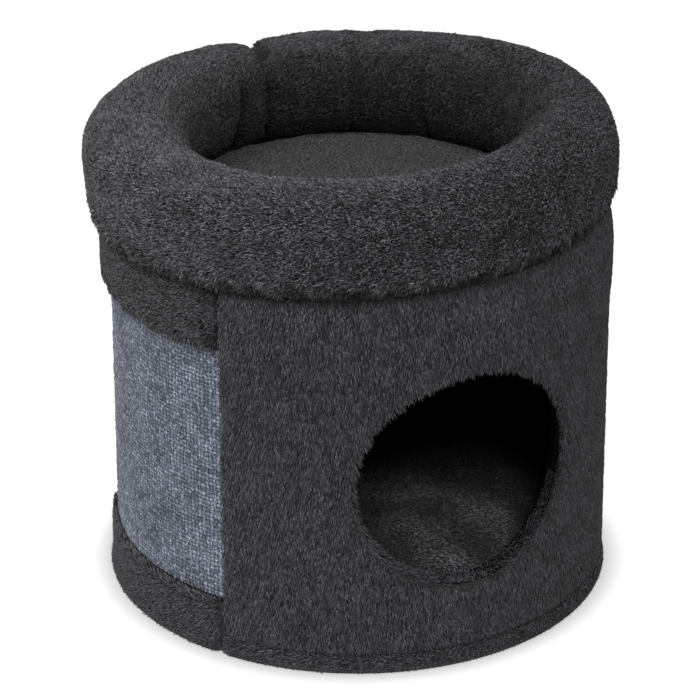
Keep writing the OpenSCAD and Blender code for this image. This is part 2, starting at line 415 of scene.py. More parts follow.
def plush(base, body, slot, material, style, lay, keep, seed,
          trim=None, face=None, floor=0.4 * MM):
    """Grows pile on a base piece, in as many pieces as needed."""
    roots, normals, glooms = scatter(base, style["spacing"] * MM, seed)
    kept = keep(roots, normals)
    roots, normals, glooms = roots[kept], normals[kept], glooms[kept]
    if face:
        normals = face(roots, normals)
    lays = along_surface(lay(roots, normals) if callable(lay) else lay, normals)
    trims = trim(roots) if trim else np.ones(len(roots))
    order = np.argsort(angle_of(roots), kind="stable")
    made = []
    for k, part in enumerate(np.array_split(order, math.ceil(len(order) / MOST_TUFTS))):
        piece = grow_pile(f"{base.name}_pile_{k + 1}", roots[part], normals[part], lays[part],
                          trims[part], glooms[part], style, floor, seed + k)
        piece.data.materials.append(material)
        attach(piece, body)
        made.append(piece)
    return made


# Materials

def new_material(name, roughness, specular, sheen=0.0, metallic=0.0):
    material = bpy.data.materials.new(name)
    material.use_nodes = True
    shader = material.node_tree.nodes["Principled BSDF"]
    shader.inputs["Roughness"].default_value = roughness
    shader.inputs["Specular IOR Level"].default_value = specular
    shader.inputs["Sheen Weight"].default_value = sheen
    shader.inputs["Sheen Roughness"].default_value = 0.5
    shader.inputs["Metallic"].default_value = metallic
    return material, material.node_tree, shader


def add_node(tree, kind, **values):
    """A new node: numbers are set, outputs are linked."""
    node = tree.nodes.new("ShaderNode" + kind)
    for key, value in values.items():
        if hasattr(node, key):
            setattr(node, key, value)
        elif isinstance(value, bpy.types.NodeSocket):
            tree.links.new(value, node.inputs[key.replace("_", " ")])
        else:
            node.inputs[key.replace("_", " ")].default_value = value
    return node


def combine(tree, operation, *values):
    """A sum on numbers and outputs."""
    node = add_node(tree, "Math", operation=operation)
    for socket, value in zip(node.inputs, values):
        if isinstance(value, (int, float)):
            socket.default_value = value
        else:
            tree.links.new(value, socket)
    return node.outputs["Value"]


def grey(value, blue=0.0):
    return (value, value, value * (1 + blue))


def ramp_colour(tree, value, stops):
    """A colour that follows a value through stops."""
    ramp = add_node(tree, "ValToRGB", Fac=value)
    while len(ramp.color_ramp.elements) < len(stops):
        ramp.color_ramp.elements.new(0.5)
    for element, (place, colour) in zip(ramp.color_ramp.elements, stops):
        element.position = place
        element.color = (*colour, 1)
    return ramp.outputs["Color"]


def multiplied(tree, colour, value):
    mixed = add_node(tree, "Mix", data_type="RGBA", blend_type="MULTIPLY")
    mixed.inputs["Factor"].default_value = 1
    tree.links.new(colour, mixed.inputs[6])
    tree.links.new(value, mixed.inputs[7])
    return mixed.outputs[2]


def mesh_values(tree, layer):
    kept = add_node(tree, "VertexColor", layer_name=layer)
    parts = add_node(tree, "SeparateColor", Color=kept.outputs["Color"])
    return [parts.outputs[key] for key in ("Red", "Green", "Blue")]


def own_place(tree):
    return add_node(tree, "TexCoord").outputs["Object"]


def grain(tree, kind="TexNoise", stretch=(1, 1, 1), **values):
    """A fine pattern that stays with the piece."""
    place = add_node(tree, "Mapping", Vector=own_place(tree), Scale=stretch)
    return add_node(tree, kind, Vector=place.outputs["Vector"], **values).outputs["Fac"]


def roughen(tree, shader, height, strength, distance):
    rough = add_node(tree, "Bump", Height=height, Strength=strength, Distance=distance)
    tree.links.new(rough.outputs["Normal"], shader.inputs["Normal"])


def pile_material(name, blue, *greys):
    """Each tuft's own shade, with painted shade towards its root and the painted light and shade of
    its gloom.
    """
    material, tree, shader = new_material(name, 0.85, 0.1, 0.06)
    own, along, gloom = mesh_values(tree, "pile")
    shade = ramp_colour(tree, own, [(t, grey(g, blue)) for t, g in zip((0.0, 0.55, 1.0), greys)])
    # Painted shade towards each tuft's root, times painted light and shade from the gloom
    root = add_node(tree, "MapRange", Value=along, To_Min=0.15)
    light = combine(tree, "MULTIPLY", root.outputs["Result"], gloom)
    tree.links.new(multiplied(tree, shade, light), shader.inputs["Base Color"])
    return material


def mottled_material(name, surface, stops, bump=None, **values):
    """Colour that follows a fine pattern; bump is a strength and a depth."""
    material, tree, shader = new_material(name, **surface)
    fine = grain(tree, **values)
    tree.links.new(ramp_colour(tree, fine, stops), shader.inputs["Base Color"])
    if bump:
        roughen(tree, shader, fine, *bump)
    return material


def cloth_material(name, dark, light, size, stretch=(1, 1, 1), gloss=0.1):
    surface = dict(roughness=0.95, specular=gloss, sheen=gloss)
    return mottled_material(name, surface, [(0.3, grey(dark)), (0.7, grey(light))], (0.3, 0.6 * MM),
                            stretch=stretch, Scale=1 / size, Detail=4.0, Roughness=0.65)


def woven_material():
    """Each yarn's own shade, painted shade in the gaps between yarns and rows, and fine fibres."""
    material, tree, shader = new_material("woven_panel", 0.9, 0.2, 0.05)
    own, yarn_at, row_at = mesh_values(tree, "weave")
    shade = ramp_colour(tree, own, [
        (0.0, (0.003, 0.004, 0.006)), (0.35, (0.036, 0.044, 0.061)), (1.0, (0.285, 0.321, 0.400)),
    ])
    # Painted shade in the gaps between yarns and rows
    gaps = []
    for place in (row_at, yarn_at):
        wave = combine(tree, "COSINE", combine(tree, "MULTIPLY", place, FULL_TURN))
        gaps.append(combine(tree, "MULTIPLY_ADD", wave, 0.25, 0.25))
    fibres = grain(tree, Scale=900.0, Detail=2.0)
    fade = combine(tree, "MAXIMUM", combine(tree, "MULTIPLY_ADD", fibres, 4.4, -1.25), 0.1)
    open_share = combine(tree, "MULTIPLY_ADD", combine(tree, "ADD", *gaps), -0.8, 1.0)
    light = combine(tree, "MULTIPLY", fade, open_share)
    tree.links.new(multiplied(tree, shade, light), shader.inputs["Base Color"])
    roughen(tree, shader, fibres, 0.4, 0.3 * MM)
    return material


WALL_PILE = pile_material("wall_pile", 0.12, 0.004, 0.046, 0.105)
LONG_PILE = pile_material("long_pile", 0.08, 0.002, 0.050, 0.155)
BED_PILE = pile_material("bed_pile", 0.06, 0.026, 0.048, 0.080)
CUSHION_PILE = pile_material("cushion_pile", 0.06, 0.025, 0.075, 0.150)
WALL_CLOTH = cloth_material("wall_cloth", 0.008, 0.025, 3 * MM, stretch=(1, 1, 0.3))
LONG_CLOTH = cloth_material("long_cloth", 0.005, 0.020, 2.5 * MM)
# Near-black cloth for the cave's lining, darker than its own tone as painted shade, and laid as
# painted shade on faces in the bore and the seam gap
LINING_AND_SHADE_CLOTH = cloth_material("lining_and_painted_shade_cloth", 0.0015, 0.004, 2 * MM, gloss=0.0)
FELT = cloth_material("felt", 0.020, 0.040, 1.2 * MM)
WOVEN = woven_material()
# Wound brown paper with slanted winding lines
PAPERBOARD = mottled_material(
    "paperboard", dict(roughness=0.8, specular=0.3),
    [(0.0, (0.26, 0.17, 0.095)), (1.0, (0.34, 0.235, 0.14))],
    kind="TexWave", bands_direction="DIAGONAL", Scale=4.0, Distortion=1.5, Detail=2.0,
)
# Hard fibreboard: pressed fibre, speckled dark brown
FIBREBOARD = mottled_material(
    "fibreboard", dict(roughness=0.7, specular=0.35),
    [(0.25, (0.030, 0.021, 0.015)), (0.75, (0.072, 0.053, 0.040))],
    (0.2, 0.3 * MM), Scale=900.0, Detail=5.0, Roughness=0.7,
)
# Zinc-plated steel wire, slightly uneven
STEEL = mottled_material(
    "zinc_steel", dict(roughness=0.35, specular=0.5, metallic=1.0),
    [(0.3, (0.48, 0.49, 0.50)), (0.7, (0.66, 0.67, 0.69))], Scale=500.0, Detail=3.0,
)


def paint_nodes():
    staples = [f"{place}_staples" for place in ("lower_tube", "upper_tube", "underside", "bolster")]
    for material, nodes in (
        (PAPERBOARD, ["drum_tube"]),
        (FIBREBOARD, ["base_board", "floor_disc", "top_board"]),
        (STEEL, ["base_screws", *staples]),
    ):
        for node in nodes:
            NODES[node].data.materials.clear()
            NODES[node].data.materials.append(material)


# Styles of pile, in millimetres and radians

WALL_STYLE = dict(
    spacing=1.0, length=6.0, width=0.62, tip=1.7, middle=1.2, spread=0.35,
    patch=14, swirl=0.2, stray=0.14, clump=2.6, stretch=(1, 1, 0.35),
)
LONG_STYLE = dict(
    spacing=0.85, length=3.5, width=0.55, tip=2.0, middle=1.6, spread=0.45,
    patch=16, swirl=0.45, stray=0.5, clump=2.6, stretch=(0.7, 0.7, 1),
)
BED_STYLE = dict(
    spacing=1.2, length=5.0, width=1.1, tip=1.0, middle=0.9, spread=0.35,
    patch=18, swirl=0.5, stray=0.3, clump=6.0, stretch=(0.5, 1, 1),
)
CUSHION_STYLE = dict(
    spacing=1.3, length=4.5, width=0.9, tip=2.0, middle=1.5, spread=0.35,
    patch=20, swirl=1.2, stray=0.4, clump=8.0, stretch=(1, 1, 1),
)


# Directions in which pile lies
DOWN = np.array([0.0, 0.0, -1.0])
BED_LAY = np.array([0.9, 0.3, 0.0])
CUSHION_LAY = np.array([0.4, -0.9, 0.0])


def outward(roots, normals):
    """Straight out from the drum's axis."""
    return round_points(angle_of(roots), 1.0, 0.0)


def around(roots, normals):
    """Clockwise, seen from above."""
    return outward(roots, normals)[:, [1, 0, 2]] * (1, -1, 1)


def dress(piece, body, slot, material, *nodes):
    piece.data.materials.append(material)
    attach(piece, body)
    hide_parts(*nodes)


def paint_shade_on_faces(piece, inside):
    """Painted shade: near-black cloth on the faces whose middle is inside."""
    piece.data.materials.append(LINING_AND_SHADE_CLOTH)
    for face in piece.data.polygons:
        face.material_index = int(inside(face.center))


# Wall cover and cave lining: sheets round the drum, cut for the entrance

WALL_R = TUBE_R + WALL_BACKING
WALL_SEAM = 1.6 * MM / WALL_R
WALL_FROM, WALL_TO = MAT_TO + WALL_SEAM - FULL_TURN, MAT_FROM - WALL_SEAM
WALL_EDGE = WALL_LOW + 1.5 * MM
WALL_HOLE = ENTRANCE_R + 1.2 * MM
# How the wall's cut edge turns into the entrance: towards its axis and inwards, in millimetres
LIP_STEPS = ((0.6, 0.35), (1.7, 1.4), (2.4, 3.0), (2.6, 5.5), (2.6, 9.0), (2.6, 12.5))


def from_axis(x, z):
    """Distance from the entrance's axis."""
    return np.hypot(x, z - ENTRANCE_Z)


def wall_sheet(name, radius, angles, low, high, cell, hole):
    """A sheet round the drum, from low to high(angle), with a round hole."""
    columns = math.ceil((angles[1] - angles[0]) * radius / cell)
    rows = math.ceil((TUBE_TOP - WALL_LOW) / cell)
    across = np.linspace(*angles, columns + 1)[:, None]
    up = np.linspace(0, 1, rows + 1)[None, :]
    points = round_points(across, radius, low + up * (high(across) - low)).reshape(-1, 3)
    faces = strip_faces(columns + 1, rows + 1)
    middles = points[faces].mean(axis=1)
    kept = (from_axis(middles[:, 0], middles[:, 2]) > hole) | (middles[:, 1] > 0)
    edge = np.intersect1d(faces[kept].ravel(), faces[~kept].ravel())
    x, z = points[edge, 0], points[edge, 2] - ENTRANCE_Z
    scale = hole / np.hypot(x, z)
    points[edge, 0], points[edge, 2] = x * scale, z * scale + ENTRANCE_Z
    points[edge, 1] = -np.sqrt(radius**2 - points[edge, 0] ** 2)
    used, renumbered = np.unique(faces[kept], return_inverse=True)
    return mesh_piece(name, points[used], renumbered.reshape(-1, 4))


def turn_in(piece):
    """Carries the wall's cut edge round into the bore."""
    form = bmesh.new()
    form.from_mesh(piece.data)

    def on_hole(vertex):
        return abs(from_axis(vertex.co.x, vertex.co.z) - WALL_HOLE) < 0.2 * MM and vertex.co.y < 0

    rim = [e for e in form.edges if e.is_boundary and all(on_hole(v) for v in e.verts)]
    for narrower, deeper in LIP_STEPS:
        grown = bmesh.ops.extrude_edge_only(form, edges=rim)["geom"]
        for vertex in (v for v in grown if isinstance(v, bmesh.types.BMVert)):
            angle = math.atan2(vertex.co.z - ENTRANCE_Z, vertex.co.x)
            vertex.co.x = (WALL_HOLE - narrower * MM) * math.cos(angle)
            vertex.co.z = (WALL_HOLE - narrower * MM) * math.sin(angle) + ENTRANCE_Z
            vertex.co.y = -math.sqrt((WALL_R - deeper * MM) ** 2 - vertex.co.x**2)
        rim = [e for e in grown if isinstance(e, bmesh.types.BMEdge)]
    bmesh.ops.recalc_face_normals(form, faces=form.faces)
    form.to_mesh(piece.data)
    form.free()
    piece.data.shade_smooth()


def ease_wall(piece):
    """Swells the wall, and draws it in at the crease and seams."""
    points = points_of(piece)
    height = points[:, 2]
    out = 1.6 * MM * ease(205 * MM, 240 * MM, height)
    out -= 3.2 * MM * ease(258 * MM, 284 * MM, height)
    turn = np.abs(turn_between(angle_of(points), (WALL_FROM + WALL_TO) / 2))
    to_seam = ((WALL_TO - WALL_FROM) / 2 - turn) * WALL_R
    out -= 2.4 * MM * (1 - ease(0, 9 * MM, to_seam))
    move_out(points, out)
    set_points(piece, points)


def from_entrance(points):
    """Distances from the entrance's axis, large at the back."""
    return np.where(points[:, 1] < 0, from_axis(points[:, 0], points[:, 2]), 1.0)


def in_bore(points):
    """0 on the wall's face, 1 inside the entrance."""
    depth = WALL_R - radius_of(points)
    return ease(0.5 * MM, 3.0 * MM, depth) * (from_entrance(points) < WALL_HOLE)


def at_foot(points):
    """1 at the foot of the entrance."""
    return ease(0.2, 0.65, (ENTRANCE_Z - points[:, 2]) / WALL_HOLE)


def on_wall_face(points, normals):
    """The wall's face, and some way in at the entrance's foot."""
    some_way_in = WALL_R - radius_of(points) < 11.5 * MM
    return (in_bore(points) < 0.97) | ((at_foot(points) > 0.1) & some_way_in)


def wall_lay(points, normals):
    """Down, and into the entrance round its edge."""
    near = from_entrance(points)
    round_hole = 1 - ease(WALL_HOLE - 2 * MM, WALL_HOLE + 5 * MM, near)[:, None]
    towards = np.stack([-points[:, 0], 0 * points[:, 1], ENTRANCE_Z - points[:, 2]], axis=-1)
    towards /= ENTRANCE_R
    return DOWN * (1 - 0.4 * round_hole) + 0.9 * towards * round_hole


def wall_trim(points):
    """Short at the foot and in the bore, ragged round the entrance."""
    ragged_to = WALL_HOLE + 9 * MM
    away = from_entrance(points)
    near = away < ragged_to
    lengths = np.clip((points[:, 2] - WALL_EDGE + 1 * MM) / (WALL_STYLE["length"] * MM), 0.2, 1)
    ragged = 0.8 + 0.45 * noise_at(points[near], 4, 21)
    lengths[near] *= ragged + (1 - ragged) * ease(WALL_HOLE, ragged_to, away[near])
    return lengths * (1 - 0.5 * in_bore(points))


def wall_gloom(points):
    """Painted shade: dark in the bore but lighter at its foot, dark under the bolster, and darker
    on the camera's right.
    """
    angle = angle_of(points)
    light = 1 - in_bore(points) * (0.97 - 0.9 * at_foot(points))
    turn = turn_between(angle, CAMERA_SIDE)
    light *= 1 - 0.3 * ease(15 * DEGREE, 65 * DEGREE, turn)
    below = crease_z(angle) - points[:, 2] + 2 * MM * noise_at(points, 9, 22)
    return light * (0.15 + 0.85 * ease(2.5 * MM, 8 * MM, below))


def wall_top(angle):
    return crease_z(angle) - 2.8 * MM


def lining_top(angle):
    return LINING[1].z


def make_wall_cover():
    def inside(point):
        depth = WALL_R - math.hypot(point.x, point.y)
        return depth > 0.7 * MM and from_axis(point.x, point.z) < WALL_HOLE and point.y < 0

    piece = wall_sheet("wall_plush", WALL_R, (WALL_FROM, WALL_TO), WALL_EDGE, wall_top,
                       3 * MM, WALL_HOLE)
    turn_in(piece)
    ease_wall(piece)
    set_gloom(piece, wall_gloom(points_of(piece)))
    pile = plush(piece, "condo", "wall_plush", WALL_PILE, WALL_STYLE, wall_lay, on_wall_face, 11,
                 wall_trim, outward)
    thicken(piece, 1.6 * MM)
    dress(piece, "condo", "wall_plush", WALL_CLOTH, "wall_cover")
    # Painted shade: near-black cloth on the faces deep in the bore
    paint_shade_on_faces(piece, inside)


def make_cave_wall():
    radius = LINING[1].x
    piece = wall_sheet("cave_wall_cloth", radius, (-math.pi, math.pi), LINING[0].z, lining_top,
                       4 * MM, ENTRANCE_R + 0.5 * MM)
    form = bmesh.new()
    form.from_mesh(piece.data)
    bmesh.ops.remove_doubles(form, verts=form.verts, dist=0.1 * MM)
    form.to_mesh(piece.data)
    form.free()
    piece.data.shade_smooth()
    thicken(piece, 3.6 * MM)
    points = points_of(piece)
    inner = radius_of(points) < radius - 2 * MM
    move_out(points, 0.3 * MM * noise_at(points, 30, 3) * inner)
    set_points(piece, points)
    dress(piece, "condo", "lining", LINING_AND_SHADE_CLOTH, "wall_lining")


DISC_RINGS = 25
DISC_SPOKES = 144


def make_disc(name, box, lift, unevenness, seed, slot, material, node):
    """A round sheet under a board, uneven below."""
    radius, low, high = box[1].x, box[0].z + lift, box[1].z
    middle = (low + high) / 2
    rings = np.linspace(0, 1, DISC_RINGS + 1)[1:] * (radius - 1 * MM)
    rim_r, rim_z = radius - 0.3 * MM, 0.4 * MM
    rim = [(rim_r, low + rim_z), (radius, middle), (rim_r, high - rim_z)]
    profile = np.array([(r, low) for r in rings] + rim + [(r, high) for r in rings[::-1]])
    spokes = np.linspace(0, FULL_TURN, DISC_SPOKES, endpoint=False)[:, None]
    points = round_points(spokes, profile[None, :, 0], profile[None, :, 1]).reshape(-1, 3)
    size = len(profile)
    first = np.arange(DISC_SPOKES) * size
    piece = mesh_piece(name, points, strip_faces(DISC_SPOKES, size, whole_turn=True),
                       [first[::-1], first + size - 1])
    points = points_of(piece)
    lower = points[:, 2] < middle
    points[lower, 2] += unevenness * (1 + noise_at(points[lower], 12, seed))
    set_points(piece, points)
    dress(piece, "condo", slot, material, node)


# Scratching section: woven panel and the plush strips above and below it

ROW_PITCH = 3.07 * MM
YARN_PITCH = 3.3 * MM
YARN_WANDER = 1.1 * MM
WEAVE_CELL = 0.62 * MM
WEAVE_DEPTH = 1.0 * MM
PANEL_LOW = MAT_LOW - 4.0 * MM
SEAM_TURN = 1.53 * MM / TUBE_R
PANEL_FROM, PANEL_TO = MAT_FROM - SEAM_TURN, MAT_TO + SEAM_TURN
PANEL_WIDTH = 2 * (MAT_HALF + SEAM_TURN) * MAT_R
STRIP_ANGLES = np.linspace(PANEL_FROM, PANEL_TO, 100)
# Slot, pile and cloth of the two kinds of plush
WALL_PLUSH = ("wall_plush", WALL_PILE, WALL_CLOTH)
LONG_PLUSH = ("long_plush", LONG_PILE, LONG_CLOTH)


def weave(across, up):
    """Shades of yarns, places among yarns and rows, and heights."""
    u, v = np.broadcast_arrays(across * MAT_R, up)
    flat = round_points(across, MAT_R, up).reshape(-1, 3)
    sway, wander, fade = (noise_at(flat, size, 33 + k).reshape(u.shape)
                          for k, size in enumerate((5, 5, 24)))
    row_at = (v + YARN_WANDER * wander) / ROW_PITCH
    yarn_at = (u + YARN_WANDER * sway) / YARN_PITCH
    row, yarn = np.floor(row_at).astype(int), np.floor(yarn_at).astype(int)
    row -= row.min()
    yarn -= yarn.min()
    own = np.random.default_rng(31).random((row.max() + 1, yarn.max() + 1))[row, yarn]
    bead = np.abs(np.sin(math.pi * row_at) * np.sin(math.pi * yarn_at)) ** 0.8
    height = 0.1 + 0.9 * bead * (0.55 + 0.45 * own)
    return np.clip(0.42 + 0.28 * own + 0.12 * fade, 0, 1), yarn_at, row_at, height


def make_scratch_mat():
    columns = math.ceil(PANEL_WIDTH / WEAVE_CELL)
    rows = math.ceil((MAT_TOP - PANEL_LOW) / WEAVE_CELL)
    across = np.linspace(PANEL_FROM, PANEL_TO, columns + 1)[:, None]
    up = np.linspace(PANEL_LOW, MAT_TOP, rows + 1)[None, :]
    *kept, height = weave(across, up)
    radius = MAT_R - WEAVE_DEPTH + WEAVE_DEPTH * height
    front = np.stack(np.broadcast_arrays(radius, up), axis=-1)
    back = np.broadcast_to([[GLUE_R, MAT_TOP], [GLUE_R, PANEL_LOW]], (columns + 1, 2, 2))
    piece = sweep("woven_panel", across[:, 0], np.concatenate([front, back], axis=1))
    colours = np.full((columns + 1, rows + 3, 4), 0.3, np.float32)
    for k, values in enumerate(kept):
        colours[:, :rows + 1, k] = values
    set_colours(piece, "weave", colours)
    dress(piece, "condo", "woven_panel", WOVEN, "scratch_mat")


def thinned(angle, first, last, start, full):
    """0 at a strip's two ends, 1 away from them."""
    return math.sqrt(ease(start, full, min(angle - first, last - angle)))


def strip_out(angle, thin, backing, start, full):
    """How far out a strip reaches, thin at its two seams."""
    return TUBE_R + thin + (backing - thin) * thinned(angle, MAT_FROM, MAT_TO, start, full)


def upper_profile(angle):
    left = ease(MAT_TO, MAT_FROM, angle)
    wave = 0.9 * MM * math.sin(angle * 37) + 0.6 * MM * math.sin(angle * 71 + 1)
    low = STRIP_LOW + 4.0 * MM - 1.0 * MM * left + wave
    out = strip_out(angle, 2 * MM, STRIP_BACKING, 0.004, 0.045)
    loop = rounded_loop(out, low, crease_z(angle) - 1.5 * MM, 1.8 * MM, 1.5 * MM, 14)
    foot, tongue_r = STRIP_LOW - 0.2 * MM, GLUE_R + 1.3 * MM
    return np.concatenate([loop[:-1], [[GLUE_R, foot], [tongue_r, foot], [tongue_r, low]]])


def off_tube(points, normals):
    return radius_of(points) > TUBE_R + 2 * MM


def over_panel(points):
    """1 where the pile hangs over the panel."""
    return 1 - ease(STRIP_LOW + 3 * MM, STRIP_LOW + 11 * MM, points[:, 2])[:, None]


def upper_lay(points, normals):
    hang = over_panel(points)
    return around(points, normals) * (0.9 - 0.5 * hang) + DOWN * (0.45 + hang)


def upper_face(points, normals):
    return normals + (outward(points, normals) - normals) * over_panel(points)


# Painted shade: dark along the crease under the bolster, and dimmer all over as in its shadow
def upper_gloom(points):
    below = crease_z(angle_of(points)) - points[:, 2] + 3 * MM * noise_at(points, 9, 25)
    return 0.1 + 0.63 * ease(2 * MM, 10 * MM, below)


def make_strip(name, node, angles, profile, plush_kind, style, lay, keep, seed,
               flat, rests_on, gloom=None, **how):
    """A strip of plush round the drum, with its pile."""
    slot, pile_look, cloth_look = plush_kind
    piece = sweep(name, angles, profile)
    if gloom:
        set_gloom(piece, gloom(points_of(piece)))
    pile = plush(piece, "condo", slot, pile_look, style, lay, keep, seed, **how)
    dress(piece, "condo", slot, cloth_look, node)
    return piece


def make_upper_strip():
    make_strip("upper_strip", "upper_trim_strip", STRIP_ANGLES, upper_profile, LONG_PLUSH,
               dict(LONG_STYLE, length=4.6), upper_lay, off_tube, 41,
               (2 * MAT_HALF * (TUBE_R + STRIP_BACKING), TUBE_TOP - STRIP_LOW), ["drum_tube"],
               upper_gloom, face=upper_face)


def turned_under(loop, tongue_top):
    """A profile with a spread foot, a tongue and cloth under the base."""
    end, tongue_r = TUBE_R - UNDER_REACH, GLUE_R + 1.4 * MM
    shown = loop[:-3].copy()
    shown[:, 0] += FOOT_SPREAD * (1 - ease(0.6 * MM, 5 * MM, shown[:, 1]))
    tail = [
        [tongue_r, loop[-3][1]], [tongue_r, tongue_top], [GLUE_R, tongue_top],
        [GLUE_R, tongue_top / 2], [GLUE_R, UNDER_TOP], [end, UNDER_TOP], [end, UNDER_LOW],
    ]
    return np.concatenate([shown, tail])


def on_trim(points, normals):
    return (radius_of(points) > TUBE_R + 2.2 * MM) & (points[:, 2] > 1.1 * MM)


def trim_at_floor(points):
    return np.clip(points[:, 2] / (7 * MM), 0.4, 1)


def lower_profile(angle):
    wave = 0.5 * MM * math.sin(angle * 43)
    out = strip_out(angle, 1.9 * MM, LOWER_BACKING, 0.006, 0.035)
    loop = rounded_loop(out, UNDER_LOW, PANEL_LOW - 3.4 * MM + wave, 0.8 * MM, 1.5 * MM, 12)
    return turned_under(loop, PANEL_LOW - 0.3 * MM)


def lower_lay(points, normals):
    """Round and down, but up over the seam."""
    at_top = ease(PANEL_LOW - 8 * MM, PANEL_LOW - 4 * MM, points[:, 2])[:, None]
    return around(points, normals) * 0.8 + DOWN * (0.5 - 1.6 * at_top)


def make_lower_strip():
    def inside(point):
        return point.z > PANEL_LOW - 3.6 * MM

    piece = make_strip(
        "lower_strip", "lower_trim_strip", STRIP_ANGLES, lower_profile, WALL_PLUSH,
        dict(WALL_STYLE, length=5.0, swirl=0.6), lower_lay, on_trim, 51,
        (2 * MAT_HALF * (TUBE_R + LOWER_BACKING), LOWER_STRIP_TOP + TURNED_UNDER),
        ["base_board", "drum_tube"], trim=trim_at_floor)
    # Painted shadow: near-black cloth on the tongue in the gap under the panel
    paint_shade_on_faces(piece, inside)


BAND_GAP = 0.006
BAND_FROM, BAND_TO = MAT_TO + BAND_GAP - FULL_TURN, MAT_FROM - BAND_GAP


def band_profile(angle):
    wave = 0.5 * MM * math.sin(angle * 29) + 0.3 * MM * math.sin(angle * 61)
    thin = 2.6 * MM
    depth = thinned(angle, BAND_FROM, BAND_TO, 0, 0.05)
    out = TUBE_R + thin + (BAND_BACKING - thin) * depth
    high = BASE_TOP - 4 * MM + (3 * MM + wave) * depth
    loop = rounded_loop(out, UNDER_LOW, high, 0.8 * MM, 1.6 * MM, 5)
    return turned_under(loop, BASE_TOP + 1 * MM)


def band_lay(points, normals):
    return around(points, normals) + DOWN * 0.2


def make_base_band():
    make_strip("base_band", "base_edge_cover", np.linspace(BAND_FROM, BAND_TO, 400), band_profile,
               WALL_PLUSH, dict(WALL_STYLE, length=4.0, swirl=0.6), band_lay, on_trim, 61,
               ((BAND_TO - BAND_FROM) * (TUBE_R + BAND_BACKING), BASE_TOP + TURNED_UNDER),
               ["base_board"], trim=trim_at_floor)


# Bolster: a ring, fuller and lower on the camera's left, with its lapped join at the back

PILE_RISE = 2.2 * MM
SWELL = 2.6 * MM
GROWTH = PILE_RISE + SWELL
RING_R = 151.5 * MM
BOLSTER_OUT = 183.5 * MM
BOLSTER_SHIFT = 5 * MM
OUTER_WAIST = 322 * MM
INNER_WAIST = 318 * MM
# Innermost radius and crown height, each 30 degrees from behind round by the camera's left
BOLSTER_INNER = np.array([
    117.5, 117, 116.6, 116.5, 116.6, 117, 117.5, 115, 110, 113, 117, 118,
]) * MM
BOLSTER_CROWN = np.array([
    336.6, 338.2, 341, 342, 343.5, 349.5, 352.5, 355, 355.5, 350, 349, 342.7,
]) * MM
JOIN_SIDE = 90.7 * DEGREE
JOIN_SLANT = 0.8 * DEGREE
JOIN_BOW = 5.0 * DEGREE
LAP_TURN = 16.8 * DEGREE
FOLD_SIDES = [65.7 * DEGREE, 40.9 * DEGREE]
JOIN_DEPTH = 4.5 * MM
JOIN_HALF = 3.2 * MM
FOLD_DEPTH = 5.4 * MM
HELD_DEPTH = 3.2 * MM
SECTIONS = 384
OUTER_STEPS, CROWN_STEPS, INNER_STEPS = 12, 32, 14
SEAT_STEPS = (3, 7, 5, 2, 2, 2)
CROWN_AT = OUTER_STEPS + CROWN_STEPS // 2
EXPOSED = OUTER_STEPS + CROWN_STEPS + INNER_STEPS


def bolster_section(angle):
    """From the crease over the crown to the bed, and the seat's corners."""
    turn = turn_between(angle, CAMERA_SIDE)
    out = BOLSTER_OUT - BOLSTER_SHIFT * math.sin(turn) - GROWTH
    inner = round_table(BOLSTER_INNER, turn) + GROWTH
    crown = round_table(BOLSTER_CROWN, turn) - GROWTH
    panel = ease(MAT_HALF + 0.10, MAT_HALF - 0.06, abs(turn_between(angle, math.pi)))
    lip_r = TUBE_R + 2.6 * MM + 5.5 * MM * panel
    lip_z = float(crease_z(angle))
    quarter = np.linspace(math.pi / 2, 0, OUTER_STEPS, endpoint=False)
    outer = [(lip_r + (out - lip_r) * math.cos(t),
              OUTER_WAIST - (OUTER_WAIST - lip_z) * math.sin(t)) for t in quarter]
    middle, half = (out + inner) / 2, (out - inner) / 2
    top = []
    for t in np.linspace(0, math.pi, CROWN_STEPS, endpoint=False):
        waist = OUTER_WAIST + (INNER_WAIST - OUTER_WAIST) * t / math.pi
        top.append((middle + half * math.cos(t), waist + (crown - waist) * math.sin(t) ** 0.92))
    bed_r, low = BED_R + 17 * MM, BED_Z - 5 * MM
    quarter = np.linspace(0, math.pi / 2, INNER_STEPS)
    under = [(bed_r - (bed_r - inner) * math.cos(t),
              INNER_WAIST - (INNER_WAIST - low) * math.sin(t)) for t in quarter]
    step_in, step_out = TUBE_R - 5.6 * MM, TUBE_R + 0.8 * MM
    deck, rim = DECK_Z + 0.6 * MM, TUBE_TOP + 0.5 * MM
    corners = [
        under[-1], (bed_r + 0.5 * MM, deck), (step_in, deck), (step_in, rim),
        (step_out, max(rim, lip_z + 0.8 * MM)), (step_out, lip_z + 0.5 * MM), outer[0],
    ]
    return np.array(outer + top + under), corners


def section_loop(angle):
    upper, corners = bolster_section(angle)
    seat = []
    for (start, end), count in zip(zip(corners[:-1], corners[1:]), SEAT_STEPS):
        start, end = np.array(start), np.array(end)
        seat += [start + (end - start) * k / count for k in range(count)]
    return np.concatenate([upper, np.array(seat[1:])])


def crowded_angles(count, centre, extra, width):
    """Directions round a turn, closer about one of them."""
    fine = np.linspace(-math.pi, math.pi, 4001)
    dense = np.cumsum(1 + extra * np.exp(-((fine / width) ** 2)))
    dense = (dense - dense[0]) / (dense[-1] - dense[0])
    return centre + np.interp(np.arange(count) / count, dense, fine)


def on_show(place):
    """1 at the steps that show, 0 on the seat."""
    return ((place > 2) & (place < EXPOSED - 1)).astype(float)


